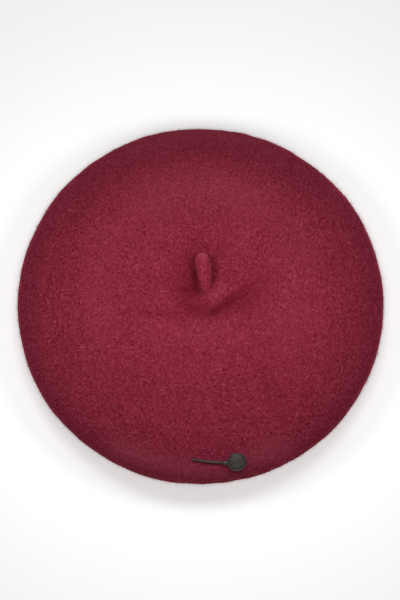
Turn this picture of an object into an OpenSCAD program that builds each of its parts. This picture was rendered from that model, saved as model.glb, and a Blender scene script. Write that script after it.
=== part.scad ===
// Felted wool beret with a sewn-in stem, a leather sweatband and a small metal pin at the front edge.
// Millimetres. +Z is up through the crown, -Y is the front, and the opening's edge lies on Z = 0.

/* [Felt shell] */
// Outside diameter at the rim
crown_d = 280; // [230:1:340]
// Height of the rim's widest line above the opening's edge
rim_h = 27; // [24:1:40]
// Rise of the crown above the rim's widest line
crown_rise = 30; // [20:1:40]
// Drop of the under-brim below the rim's widest line
brim_drop = 23; // [16:0.5:23.5]
// Squareness of the crown's curve: 2 is an ellipse, more is flatter on top
crown_square = 3.2; // [2.4:0.1:4.5]
// Squareness of the under-brim's curve
brim_square = 4.5; // [4:0.5:8]
// Thickness of the felt
felt_t = 3; // [2:0.1:4]
// Depth of the dish in the middle of the crown
dish_depth = 6; // [2:0.5:7]
// Radius over which the dish fades out
dish_r = 22; // [20:1:40]
// Radius of the turn between the under-brim and the lip
lip_turn_r = 3; // [2:0.5:5]
// Rounding of the lip's lower edge
lip_edge_r = 0.8; // [0.4:0.1:0.9]

/* [Sweatband] */
// Head size, which is the inside circumference of the sweatband
head_size = 560; // [500:5:620]
// Height of the sweatband
band_h = 28; // [20:1:36]
// Thickness of the leather
band_t = 1.2; // [1:0.1:2]
// Rounding of the leather's top edge
band_edge_r = 0.5; // [0.2:0.1:0.5]
// Room between the leather and the felt lip
band_gap = 0.1; // [0.05:0.05:0.5]
// Width of the slit where the two ends meet at the back
band_slit = 0.8; // [0.4:0.1:2]
// Height of the stitch row above the edge
seam_z = 2.4; // [1.5:0.1:3]
// Stitches in the row
seam_count = 96; // [60:1:120]
// Share of each stitch's pitch that its thread covers
seam_cover = 0.72; // [0.5:0.02:0.8]
// Slanting stitches that draw the two ends together
join_count = 6; // [3:1:8]
// Half width of those stitches
join_half_w = 3; // [2:0.5:5]
// Rise of each of them from left to right
join_rise = 1.6; // [0:0.1:2]
// Radius of the sewing thread
thread_r = 0.4; // [0.3:0.05:0.5]

/* [Stem] */
// Place of the stem, to the right of the crown's axis
stem_x = 4.8; // [-8:0.1:8]
// Place of the stem, behind the crown's axis
stem_y = 4.3; // [-8:0.1:8]
// Height of the felt mound that carries the stem
mound_h = 3; // [2:0.5:6]
// Radius of that mound's foot
mound_r = 10; // [9:0.5:10]
// Radius of that mound's flat top
mound_top_r = 7; // [6.6:0.1:8]
// Length from the sewn root to the tip
stem_len = 24.5; // [18:0.5:40]
// Diameter near the tip
stem_tip_d = 10.4; // [7:0.2:14]
// Diameter at the root
stem_root_d = 6; // [5:0.2:8]
// Lean from upright, as it rests
stem_lean = 70; // [0:1:74]
// Turn of the lean from straight back, to the wearer's left as seen from above
stem_turn = 5; // [-30:1:30]
// Radius of the thread loop that carries the stem
loop_r = 0.5; // [0.4:0.05:0.7]
// Room round that thread in the stem's root
loop_clear = 0.08; // [0.05:0.01:0.1]
// Room between the root and its felt seat
seat_gap = 0.3; // [0.3:0.05:0.6]

/* [Pin] */
// Distance of the pin's disc from the crown's axis
pin_r = 128; // [100:1:132]
// Bearing of the disc from the front, to the right as seen from above
pin_bearing = 12; // [-40:1:40]
// Diameter of the disc
pin_d = 14; // [10:0.5:18]
// Height of the disc's rim
pin_rim_h = 1.8; // [1.2:0.1:3]
// Rise of the disc's dome above its rim
pin_dome_h = 1.2; // [0.6:0.1:2]
// Length of the bar from the disc's centre
bar_len = 33; // [20:1:40]
// How far the bar climbs towards the crown along its length
bar_climb = 4; // [0:0.5:8]
// Diameter of the bar next to the disc
bar_d = 1.9; // [1.4:0.1:2.4]
// Diameter of the bar at its tip
bar_tip_d = 1.3; // [1.1:0.1:1.8]
// Diameter of the collar where the bar leaves the disc
collar_d = 3.4; // [2.4:0.1:4]
// Length of that collar
collar_len = 3; // [2:0.5:5]
// Diameter of the spur under the bar's tip, which keeps the pin from turning
spur_d = 0.9; // [0.7:0.1:1]
// Depth of the spur in the felt
spur_in = 2; // [1:0.1:2.5]
// Room between the pin and the felt under it
pin_gap = 0.2; // [0.1:0.05:0.5]
// Diameter of the post
post_d = 1.1; // [0.8:0.1:1.4]
// Length of the post inside the shell
post_in = 8; // [6:0.5:10]
// Diameter of the clutch's flange
clutch_flange_d = 9; // [8:0.5:11]
// Thickness of that flange
clutch_flange_t = 1; // [0.8:0.1:1.5]
// Diameter of the clutch's barrel
clutch_d = 5.8; // [5:0.2:7]
// Length of the clutch with its domed end
clutch_len = 9.5; // [9:0.5:12]
// Wall of the clutch's barrel
clutch_wall = 0.7; // [0.5:0.1:0.9]
// Running room round the post in the clutch
post_clear = 0.06; // [0.04:0.01:0.1]
// Room between the clutch and the felt
clutch_gap = 0.45; // [0.4:0.05:0.8]

/* [Hidden] */
$fn = 96;

FELT = "#7f2538";
LEATHER = "#3a2620";
THREAD = "#54202c";
DARK_METAL = "#4a4644";
STEEL = "#a7a7a3";
BRASS = "#b09050";
RUBBER = "#2a2a2c";

hair = 0.01;
rim_r = crown_d / 2;
band_ri = head_size / (2 * PI);
band_ro = band_ri + band_t;
lip_ri = band_ro + band_gap;
lip_ro = lip_ri + felt_t;

// Outside of the crown and of the under-brim, as heights over a radius

function crown_z(r) =
  rim_h + crown_rise * sqrt(max(0, 1 - pow(r / rim_r, crown_square)))
  - dish_depth * exp(-pow(r / dish_r, 2));

function brim_z(r) = rim_h - brim_drop * sqrt(max(0, 1 - pow(r / rim_r, brim_square)));

function slope(za, zb, step) = atan((zb - za) / step);

// The under-brim turns down into the lip on an arc that is tangent to both
turn_r = lip_ro + lip_turn_r;
brim_slope = slope(brim_z(turn_r - 0.5), brim_z(turn_r + 0.5), 1);
turn_from_r = turn_r - lip_turn_r * sin(brim_slope);
turn_z = brim_z(turn_from_r) - lip_turn_r * cos(brim_slope);

crown_steps = 48;
brim_steps = 14;
turn_steps = 6;
// Steps shorten from the middle of the crown to its rim, where the curve is tight
crown_ease = 1.6;

function crown_point(u) =
  let (r = rim_r * pow(sin(90 * pow(u, crown_ease)), 2 / crown_square)) [r, crown_z(r)];

brim_end = acos(pow(turn_from_r / rim_r, brim_square / 2));

function brim_point(u) =
  let (r = rim_r * pow(cos(brim_end * u), 2 / brim_square)) [r, brim_z(r)];

function turn_point(u) =
  let (a = 90 + brim_slope + (90 - brim_slope) * u)
  [turn_r + lip_turn_r * cos(a), turn_z + lip_turn_r * sin(a)];

outer = concat(
  [for (i = [0 : crown_steps]) crown_point(i / crown_steps)],
  [for (i = [1 : brim_steps]) brim_point(i / brim_steps)],
  [for (i = [1 : turn_steps]) turn_point(i / turn_steps)]
);

lip_edge_steps = 4;

// Quarter rounds at the lip's lower edge, from its outside to its inside
lip_edge = concat(
  [for (i = [0 : lip_edge_steps]) let (a = -90 * i / lip_edge_steps)
    [lip_ro - lip_edge_r + lip_edge_r * cos(a), lip_edge_r + lip_edge_r * sin(a)]],
  [for (i = [0 : lip_edge_steps]) let (a = -90 - 90 * i / lip_edge_steps)
    [lip_ri + lip_edge_r + lip_edge_r * cos(a), lip_edge_r + lip_edge_r * sin(a)]]
);

// Unit normal on the left of a path, which is outwards along the shell's outside
function left_of(a, b) = let (d = b - a) [-d[1], d[0]] / norm(d);

function out_normal(path, i) =
  i == 0 ? [0, 1]
  : i == len(path) - 1 ? left_of(path[i - 1], path[i])
  : left_of(path[i - 1], path[i + 1]);

// The turn ends on the lip's straight wall, so its last normal is square to that wall
function felt_inside(path, i) =
  path[i] - felt_t * (i == len(path) - 1 ? [1, 0] : out_normal(path, i));

inner = [for (i = [len(outer) - 1 : -1 : 0]) felt_inside(outer, i)];

// A place on the crown's outside, with Z along the felt's outward normal

function felt_tilt(r) = -slope(crown_z(r - 0.5), crown_z(r + 0.5), 1);

module on_felt(r, angle) {
  rotate([0, 0, angle])
    translate([r, 0, crown_z(r)])
      rotate([0, felt_tilt(r), 0])
        children();
}

// The pin's bar runs round the crown from the disc, clockwise as seen from above
pin_angle = -90 + pin_bearing;
post_r = post_d / 2;
spur_r = spur_d / 2;

function bar_r(u) = pin_r - bar_climb * u;

function bar_angle(u) = pin_angle - (180 / PI) * bar_len * u / pin_r;

module on_pin() {
  on_felt(pin_r, pin_angle)
    children();
}

module on_bar_tip() {
  on_felt(bar_r(1), bar_angle(1))
    children();
}

// Stem: a ball at the root turns on a thread loop that crosses it

root_r = stem_root_d / 2;
tip_r = stem_tip_d / 2;
leg_r = loop_r + 0.1;
leg_x = root_r + seat_gap + leg_r;
leg_hole_r = leg_r + 0.05;
knot_r = 1.5;

// The mound's foot lies inside the felt, and its flank flares up to a flat top that the legs go through
foot_depth = 0.15 * felt_t;
foot_z = crown_z(0) - foot_depth;
mound_z = crown_z(norm([stem_x, stem_y])) + mound_h;
mound_flare = 1.6;
mound_steps = 8;
mound_outline = concat(
  [[0, foot_z]],
  [for (i = [0 : mound_steps]) let (u = i / mound_steps)
    [mound_r + (mound_top_r - mound_r) * u, foot_z + (mound_z - foot_z) * pow(u, mound_flare)]],
  [[0, mound_z]]
);

// The root sinks a tenth of its radius into a round seat in the mound
root_z = mound_z + 0.9 * root_r + seat_gap;
// The loop is drawn tight under the lowest felt inside
tie_z = crown_z(0) - felt_t - seat_gap - loop_r;

module on_stem() {
  translate([stem_x, stem_y, 0])
    rotate([0, 0, stem_turn])
      children();
}

module on_root() {
  on_stem()
    translate([0, 0, root_z])
      children();
}

module along_x(r, length) {
  rotate([0, 90, 0])
    cylinder(r = r, h = length, center = true);
}

// Half width at a distance from the root's centre: a long taper that swells to the tip
function stem_half(s) = root_r + (tip_r - root_r) * pow(sin(90 * s / (stem_len - tip_r)), 1.3);

root_steps = 8;
shaft_steps = 14;
tip_steps = 10;
stem_outline = concat(
  [for (i = [0 : root_steps]) let (a = -90 + 90 * i / root_steps) root_r * [cos(a), sin(a)]],
  [for (i = [1 : shaft_steps]) let (s = (stem_len - tip_r) * i / shaft_steps) [stem_half(s), s]],
  [for (i = [1 : tip_steps]) let (a = 90 * i / tip_steps)
    [tip_r * cos(a), stem_len - tip_r + tip_r * sin(a)]]
);

module stem() {
  color(FELT)
    on_root()
      difference() {
        rotate([-stem_lean, 0, 0])
          rotate_extrude()
            polygon(stem_outline);
        along_x(loop_r + loop_clear, 3 * stem_root_d);
      }
}

module stem_stitch() {
  color(THREAD)
    union() {
      on_root()
        along_x(loop_r, 2 * leg_x);
      on_stem() {
        translate([0, 0, tie_z])
          along_x(loop_r, 2 * leg_x);
        for (side = [-1, 1])
          translate([side * leg_x, 0, tie_z - leg_r])
            cylinder(r = leg_r, h = root_z - tie_z + 2 * leg_r);
        translate([leg_x, 0, tie_z - leg_r])
          sphere(r = knot_r);
      }
    }
}

module felt_shell() {
  color(FELT)
    difference() {
      union() {
        rotate_extrude($fn = 180)
          polygon(concat(outer, lip_edge, inner));
        on_stem()
          rotate_extrude()
            polygon(mound_outline);
      }
      on_root()
        sphere(r = root_r + seat_gap);
      on_stem()
        for (side = [-1, 1])
          translate([side * leg_x, 0, tie_z])
            cylinder(r = leg_hole_r, h = root_z - tie_z);
      on_pin()
        translate([0, 0, -2 * felt_t])
          cylinder(r = post_r + post_clear, h = 4 * felt_t);
      on_bar_tip()
        translate([0, 0, -spur_in - post_clear])
          cylinder(r = spur_r + post_clear, h = 2 * spur_in);
    }
}

// Sweatband: a strip stood on edge inside the lip, with a pressed groove that the stitch row lies in

groove_depth = min(2 * thread_r + 0.05, 0.75 * band_t);
groove_half_h = thread_r + 0.15;
seam_in_r = band_ri + groove_depth - thread_r;
seam_out_r = lip_ro + 0.5 * thread_r;
seam_pitch = 360 / seam_count;
edge_steps = 5;

band_outline = concat(
  [[band_ri, 0], [band_ri, seam_z - groove_half_h]],
  [[band_ri + groove_depth, seam_z - groove_half_h], [band_ri + groove_depth, seam_z + groove_half_h]],
  [[band_ri, seam_z + groove_half_h]],
  [for (i = [0 : edge_steps]) let (a = 180 - 90 * i / edge_steps)
    [band_ri + band_edge_r + band_edge_r * cos(a), band_h - band_edge_r + band_edge_r * sin(a)]],
  [for (i = [0 : edge_steps]) let (a = 90 - 90 * i / edge_steps)
    [band_ro - band_edge_r + band_edge_r * cos(a), band_h - band_edge_r + band_edge_r * sin(a)]],
  [[band_ro, 0]]
);

// The joining stitches lie in a skived recess between the stitch row and the top edge
join_low = seam_z + groove_half_h + 2;
join_high = band_h - band_edge_r - 2;
join_margin = 1.2;
join_in_r = band_ri + groove_depth - thread_r;

module sweatband() {
  color(LEATHER)
    difference() {
      rotate_extrude($fn = 180)
        polygon(band_outline);
      translate([-band_slit / 2, 0, -1])
        cube([band_slit, 2 * band_ro, band_h + 2]);
      intersection() {
        translate([0, 0, join_low - join_margin])
          cylinder(r = band_ri + groove_depth, h = join_high - join_low + 2 * join_margin, $fn = 180);
        translate([-join_half_w - join_margin, 0, 0])
          cube([2 * (join_half_w + join_margin), 2 * band_ro, band_h]);
      }
    }
}

// One stitch: a bar on the leather, a bar on the felt and the two legs that draw them together
stitch_half = seam_cover * PI * seam_in_r / seam_count;
stitch_leg_w = 2 * thread_r + 0.1;

module stitch() {
  for (at = [seam_in_r, seam_out_r])
    translate([at, 0, seam_z])
      rotate([90, 0, 0])
        cylinder(r = thread_r, h = 2 * stitch_half, center = true, $fn = 24);
  for (side = [-1, 1])
    translate([(seam_in_r + seam_out_r) / 2, side * stitch_half, seam_z])
      cube([seam_out_r - seam_in_r + stitch_leg_w, stitch_leg_w, stitch_leg_w], center = true);
}

// Half a pitch aside, so that no stitch lies across the slit
module sweatband_stitches() {
  color(THREAD)
    for (i = [0 : seam_count - 1])
      rotate([0, 0, 90 + (i + 0.5) * seam_pitch])
        stitch();
}

module rod(a, b, r) {
  d = b - a;
  translate(a)
    rotate([0, acos(d[2] / norm(d)), atan2(d[1], d[0])])
      cylinder(r = r, h = norm(d), $fn = 24);
}

module sweatband_join_stitches() {
  step = (join_high - join_low - join_rise) / (join_count - 1);
  y = sqrt(pow(join_in_r, 2) - pow(join_half_w, 2));
  color(THREAD)
    for (i = [0 : join_count - 1]) {
      left = [-join_half_w, y, join_low + i * step];
      right = [join_half_w, y, join_low + i * step + join_rise];
      rod(left, right, thread_r);
      for (end = [left, right])
        translate(end)
          cube(stitch_leg_w, center = true);
    }
}

// Pin: a domed disc with a slender bar that follows the felt, a post, and a clutch inside the shell

disc_r = pin_d / 2;
bead_r = 0.6;
dome_r = disc_r - 2 * bead_r;
dome_steps = 10;
bead_steps = 10;

// Half section of the disc, with a round bead at its rim and a low dome inside it
disc_outline = concat(
  [[0, 0], [disc_r - bead_r, 0]],
  [for (i = [0 : bead_steps]) let (a = -90 + 270 * i / bead_steps)
    [disc_r - bead_r + bead_r * cos(a), pin_rim_h - bead_r + bead_r * sin(a)]],
  [for (i = [0 : dome_steps]) let (u = 1 - i / dome_steps)
    [dome_r * u, pin_rim_h - bead_r + (pin_dome_h + bead_r) * cos(90 * u)]]
);

bar_rings = 24;
bar_sides = 12;
// The bar starts inside the disc
bar_start = 0.5 * disc_r / bar_len;
// Distance from the disc's centre to the middle of the collar
collar_s = disc_r + collar_len / 2;

function bar_share(i) = bar_start + (1 - bar_start) * i / (bar_rings - 1);

// The collar swells out of the bar's long taper and fades back into it
function bar_half(u) =
  let (swell = exp(-pow((u * bar_len - collar_s) / (0.6 * collar_len), 4)))
  (bar_d + (bar_tip_d - bar_d) * u + (collar_d - bar_d) * swell) / 2;

// Unit vectors at a point of the felt: outwards, and up the crown's slope
function felt_out(r, a) = let (t = felt_tilt(r)) [sin(t) * cos(a), sin(t) * sin(a), cos(t)];

function felt_up(r, a) = let (t = felt_tilt(r)) [-cos(t) * cos(a), -cos(t) * sin(a), sin(t)];

function bar_middle(u) =
  let (r = bar_r(u), a = bar_angle(u))
  [r * cos(a), r * sin(a), crown_z(r)] + (pin_gap + bar_half(u)) * felt_out(r, a);

function bar_ring(u) =
  let (r = bar_r(u), a = bar_angle(u))
  [for (k = [0 : bar_sides - 1])
    let (q = 360 * k / bar_sides)
    bar_middle(u) + bar_half(u) * (cos(q) * felt_up(r, a) + sin(q) * felt_out(r, a))];

bar_points = concat(
  [for (i = [0 : bar_rings - 1]) each bar_ring(bar_share(i))],
  [bar_middle(bar_start), bar_middle(1 + 0.5 * bar_tip_d / bar_len)]
);
bar_faces = concat(
  [for (i = [0 : bar_rings - 2], k = [0 : bar_sides - 1])
    let (n = (k + 1) % bar_sides, a = i * bar_sides, b = a + bar_sides) each
    [[a + k, b + n, b + k], [a + k, a + n, b + n]]],
  [for (k = [0 : bar_sides - 1]) [bar_rings * bar_sides, (k + 1) % bar_sides, k]],
  [for (k = [0 : bar_sides - 1])
    let (a = (bar_rings - 1) * bar_sides)
    [bar_rings * bar_sides + 1, a + k, a + (k + 1) % bar_sides]]
);

module pin_head() {
  color(DARK_METAL)
    union() {
      on_pin()
        translate([0, 0, pin_gap])
          rotate_extrude()
            polygon(disc_outline);
      polyhedron(points = bar_points, faces = bar_faces);
      on_bar_tip()
        translate([0, 0, -spur_in])
          cylinder(r = spur_r, h = spur_in + pin_gap + bar_half(1), $fn = 24);
    }
}

post_point = 1.6;
post_groove = 0.12;
post_end = felt_t + post_in;
// A shallow ring near the point, which the grip closes on
post_outline = [
  [0, pin_gap], [post_r, pin_gap],
  [post_r, -post_end + post_point + 2.2], [post_r - post_groove, -post_end + post_point + 1.9],
  [post_r - post_groove, -post_end + post_point + 1.1], [post_r, -post_end + post_point + 0.8],
  [post_r, -post_end + post_point], [0, -post_end]
];

module pin_post() {
  color(STEEL)
    on_pin()
      rotate_extrude($fn = 48)
        polygon(post_outline);
}

clutch_r = clutch_d / 2;
grip_r = clutch_r - clutch_wall - 0.03;
grip_len = clutch_len - clutch_flange_t - clutch_r - 0.3;
clutch_steps = 8;
clutch_face = -felt_t - clutch_gap;
// The cavity takes the grip and the post's point, and the end is a closed dome
clutch_outline = concat(
  [[post_r + 2 * post_clear, 0], [clutch_flange_d / 2 - 0.3, 0], [clutch_flange_d / 2, -0.3]],
  [[clutch_flange_d / 2, -clutch_flange_t], [clutch_r, -clutch_flange_t - 0.6]],
  [for (i = [0 : clutch_steps]) let (a = -90 * i / clutch_steps)
    [clutch_r * cos(a), -clutch_len + clutch_r + clutch_r * sin(a)]],
  [[0, -clutch_len + clutch_r - grip_r], [grip_r + 0.03, -clutch_len + clutch_r]],
  [[grip_r + 0.03, -clutch_flange_t], [post_r + 2 * post_clear, -clutch_flange_t]]
);

module pin_clutch() {
  color(BRASS)
    on_pin()
      translate([0, 0, clutch_face])
        rotate_extrude()
          polygon(clutch_outline);
}

module clutch_grip() {
  color(RUBBER)
    on_pin()
      translate([0, 0, clutch_face - clutch_flange_t - grip_len])
        difference() {
          cylinder(r = grip_r, h = grip_len);
          translate([0, 0, -hair])
            cylinder(r = post_r + post_clear, h = grip_len + 2 * hair);
        }
}

felt_shell();
stem();
stem_stitch();
sweatband();
sweatband_stitches();
sweatband_join_stitches();
pin_head();
pin_post();
pin_clutch();
clutch_grip();
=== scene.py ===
import math
from functools import cache
from typing import NamedTuple

import bpy
import numpy as np
from bpy.props import FloatProperty, FloatVectorProperty, IntProperty, PointerProperty
from bpy.types import NodeSocket, Operator, Panel, PropertyGroup
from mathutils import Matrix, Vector


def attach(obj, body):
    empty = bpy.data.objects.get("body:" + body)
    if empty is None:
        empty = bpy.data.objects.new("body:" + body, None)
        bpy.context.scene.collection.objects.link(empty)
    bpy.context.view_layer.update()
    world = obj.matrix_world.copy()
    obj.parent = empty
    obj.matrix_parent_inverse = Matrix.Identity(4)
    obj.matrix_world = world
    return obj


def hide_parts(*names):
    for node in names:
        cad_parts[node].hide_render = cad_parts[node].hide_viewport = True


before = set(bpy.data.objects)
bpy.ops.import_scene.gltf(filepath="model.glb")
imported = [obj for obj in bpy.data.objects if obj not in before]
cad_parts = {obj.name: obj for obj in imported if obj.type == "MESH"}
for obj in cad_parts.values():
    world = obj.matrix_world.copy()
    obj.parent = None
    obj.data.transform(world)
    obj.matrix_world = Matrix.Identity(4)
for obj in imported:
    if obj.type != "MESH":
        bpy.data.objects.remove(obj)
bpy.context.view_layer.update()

bl_info = {
    "name": "Felt beret",
    "version": (1, 0, 0),
    "blender": (4, 5, 0),
    "location": "View3D > Sidebar > Beret",
    "description": "Builds a beret's felt, stem, sweatband, stitching and pin round its CAD frame",
    "category": "Object",
}

MM = 0.001
BODY, STEM_BODY = "beret", "stem"
FULL_TURN, QUARTER_TURN = 2 * math.pi, math.pi / 2


# Settings

def setting(name, default, description, unit="NONE"):
    return FloatProperty(name=name, description=description, default=default, unit=unit)


def length(name, default, description):
    return setting(name, default, description, "LENGTH")


def angle(name, degrees, description):
    return setting(name, math.radians(degrees), description, "ROTATION")


def colour(name, default, description):
    return FloatVectorProperty(
        name=name, description=description, default=default,
        subtype="COLOR", size=3, min=0.0, max=1.0,
    )


def number(name, default, description):
    return IntProperty(name=name, description=description, default=default, min=0)


class FeltSettings(PropertyGroup):
    """Sizes and colours of the felt body and its nap."""

    rim_radius: length("Rim radius", 0.140, "Outside radius at the rim's widest line")
    rim_height: length("Rim height", 0.027, "Height of the rim's widest line")
    crown_rise: length("Crown rise", 0.030, "Rise of the crown above that line")
    brim_drop: length("Under-brim drop", 0.023, "Drop of the under-brim below that line")
    thickness: length("Felt thickness", 0.003, "Thickness of the felt")
    dish_depth: length("Dish depth", 0.006, "Depth of the dish in the crown's middle")
    dish_radius: length("Dish radius", 0.022, "Radius over which the dish fades out")
    colour: colour("Felt colour", (0.297, 0.0258, 0.0535), "Main colour of the felt")
    dark_colour: colour("Shaded colour", (0.119, 0.0040, 0.0115), "Felt between its fibres")
    pale_colour: colour("Fibre colour", (0.52, 0.096, 0.146), "Raised fibres that catch the light")
    nap_count: number("Nap fibres", 12000, "Short fibres on the crown")
    fringe_count: number("Rim fibres", 14000, "Short fibres that stand out round the rim")
    under_count: number("Under-brim fibres", 7000, "Short fibres on the under-brim")
    stray_count: number("Stray fibres", 260, "Long loose fibres")
    nap_length: length("Nap length", 0.0017, "Usual length of a short fibre")


class StemSettings(PropertyGroup):
    """Sizes of the felt stem."""

    length: length("Stem length", 0.0251, "From the sewn root to the tip")
    tip_radius: length("Tip radius", 0.0052, "Half width near the tip")
    root_radius: length("Root radius", 0.0035, "Half width just above the root")
    lean: angle("Lean", 70, "Lean from upright, towards the back")
    turn: angle("Turn", 6.6, "Turn of the lean to the left")
    nap_count: number("Nap fibres", 1500, "Short fibres on the stem")


class BandSettings(PropertyGroup):
    """Sizes and colours of the leather sweatband."""

    inner_radius: length("Inside radius", 0.0891268, "Inside radius of the strip")
    thickness: length("Thickness", 0.0012, "Thickness of the leather")
    height: length("Height", 0.028, "Height of the strip")
    colour: colour("Leather colour", (0.078, 0.035, 0.025), "Main colour of the leather")
    worn_colour: colour("Worn colour", (0.165, 0.084, 0.058), "Leather rubbed pale on its edge")


class ThreadSettings(PropertyGroup):
    """Sizes and colours of the sewing thread."""

    radius: length("Thread radius", 0.0004, "Radius of the two-ply thread")
    stitches: number("Stitches", 96, "Stitches round the sweatband")
    colour: colour("Thread colour", (0.165, 0.022, 0.039), "Main colour of the thread")
    pale_colour: colour("Fibre colour", (0.31, 0.070, 0.093), "Thread fibres that catch the light")


class PinSettings(PropertyGroup):
    """Sizes and colours of the pin."""

    disc_radius: length("Disc radius", 0.007, "Radius of the disc")
    bar_length: length("Bar length", 0.033, "From the disc's centre to the bar's tip")
    colour: colour("Plating colour", (0.060, 0.054, 0.051), "Dark plating")
    worn_colour: colour("Worn colour", (0.30, 0.28, 0.26), "Metal where the plating is rubbed")


class StageSettings(PropertyGroup):
    """Camera, light and floor."""

    elevation: angle("Camera elevation", 75.5, "Camera angle above the floor")
    distance: length("Camera distance", 1.25, "From the camera to the rim's middle")
    lens: setting("Lens", 97.98, "Focal length in millimetres")
    lamp_power: setting("Lamp power", 0.256, "Power of each soft lamp", "POWER")
    fill: setting("Fill", 0.24, "Strength of the light from all round")
    floor_colour: colour("Floor colour", (0.86, 0.86, 0.86), "Colour of the floor")


# Geometry in millimetres

def unit(vectors):
    vectors = np.asarray(vectors, float)
    return vectors / np.linalg.norm(vectors, axis=-1, keepdims=True)


def round_to(count):
    """Even bearings round a circle."""
    return FULL_TURN * np.arange(count) / count


def turned(bearing, side, other):
    """Directions at bearings from one side towards another."""
    return np.cos(bearing)[..., None] * side + np.sin(bearing)[..., None] * other


def ripple(points, wavelength, seed, count=16):
    """A smooth random field of about unit spread over points."""
    draw = np.random.default_rng(seed)
    ways = unit(draw.normal(size=(count, 3)))
    turns = FULL_TURN / (wavelength * draw.uniform(0.7, 1.5, count))
    phases = draw.uniform(0, FULL_TURN, count)
    return np.cos(points @ (ways * turns[:, None]).T + phases).sum(1) * math.sqrt(2 / count)


def uneven(points, sizes):
    """Unevenness at points from ripples, each given by its wavelength, height and seed."""
    return sum(height * ripple(points, wavelength, seed) for wavelength, height, seed in sizes)


def smooth(low, high, x):
    t = np.clip((x - low) / (high - low), 0, 1)
    return t * t * (3 - 2 * t)


def smooth_line(knots, count):
    """Points on a smooth line through knots."""
    knots = np.asarray(knots, float)
    padded = np.vstack([2 * knots[0] - knots[1], knots, 2 * knots[-1] - knots[-2]])
    at = np.linspace(0, len(knots) - 1, count)
    i = np.minimum(at.astype(int), len(knots) - 2)
    t = (at - i)[:, None]
    a, b, c, d = (padded[i + k] for k in range(4))
    return 0.5 * (
        2 * b + (c - a) * t + (2 * a - 5 * b + 4 * c - d) * t ** 2
        + (3 * b - a - 3 * c + d) * t ** 3
    )


def beside_line(x, y, knots, count=90):
    """Distance of points to the left of a line, and their share of the way along it."""
    line = smooth_line(knots, count)
    ways = unit(np.gradient(line, axis=0))
    at = np.stack([x, y], 1)
    parts = np.array_split(at, len(at) // 4000 + 1)
    near = np.concatenate([np.argmin(((part[:, None] - line) ** 2).sum(2), 1) for part in parts])
    off = at - line[near]
    side = ways[near, 0] * off[:, 1] - ways[near, 1] * off[:, 0]
    return np.where(side < 0, -1, 1) * np.linalg.norm(off, axis=1), near / (count - 1)


def facing(surface, s, bearing, step, turn):
    """Points on a surface and the normals there, from a step along it and a turn round it."""
    along = surface(s + step, bearing) - surface(s - step, bearing)
    across = surface(s, bearing + turn) - surface(s, bearing - turn)
    return surface(s, bearing), unit(np.cross(along, across))


def rings_of(surface, s, columns):
    """Points of a surface in rings at distances along it."""
    return surface(np.repeat(s, columns), np.tile(round_to(columns), len(s)))


CROWN_SQUARE, BRIM_SQUARE, CROWN_EASE = 3.2, 4.5, 1.6
BAND_GAP, LIP_TURN = 0.1, 3.0
STEM_FOOT = np.array([3.8, 4.2])
MOUND_RISE, MOUND_TOP, MOUND_FOOT, MOUND_STEEP, MOUND_REACH = 3.0, 4.0, 9.5, 1.5, 40.0
# Height of the sewn root's middle over the mound's top
ROOT_SIT = 3.0
# The felt is drawn up round the stem's root, a little further in front of it
COLLAR_RISE, COLLAR_TOP, COLLAR_FOOT, COLLAR_AHEAD = 2.5, 3.1, 6.8, 0.5
# Wavelength, height and seed of each size of slack, and of the ripple that only the rim has
SLACK = ((82, 0.62, 11), (34, 0.30, 12), (13, 0.13, 13), (6.5, 0.05, 14))
RIM_RIPPLE, RIPPLE_REACH = ((14, 0.12, 15),), (5, 20)
# Shares of the slack that the rim's roll and the dish take out, and where they and the lip do so
RIM_HOLD, RIM_REACH, DISH_HOLD, DISH_REACH, LIP_REACH = 0.78, (8, 45), 0.75, 26, (-22, -4)
FELT_STEP = 0.4


class Mark(NamedTuple):
    """A soft mark on the crown along a line, in millimetres."""

    line: tuple
    # Reach to the left and to the right of the line
    left: float
    right: float
    depth: float = 0.0
    # Share of painted shade that darkens the felt, below nought painted light that makes it paler
    dark: float = 0.0
    # Shares of the line by which the mark has come in and from which it goes, if its ends aren't round
    fade: tuple | None = None


# Above nought a mark's dark share is painted shade: the stem's painted shadow at each side, and shade in the
# fold and the long crease, round the dish, under and behind the stem and over the front. Below nought it is
# painted light: on the ridge and the pill, below the dish, across the back and the sides, and along the
# rim's front and back edges.
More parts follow.
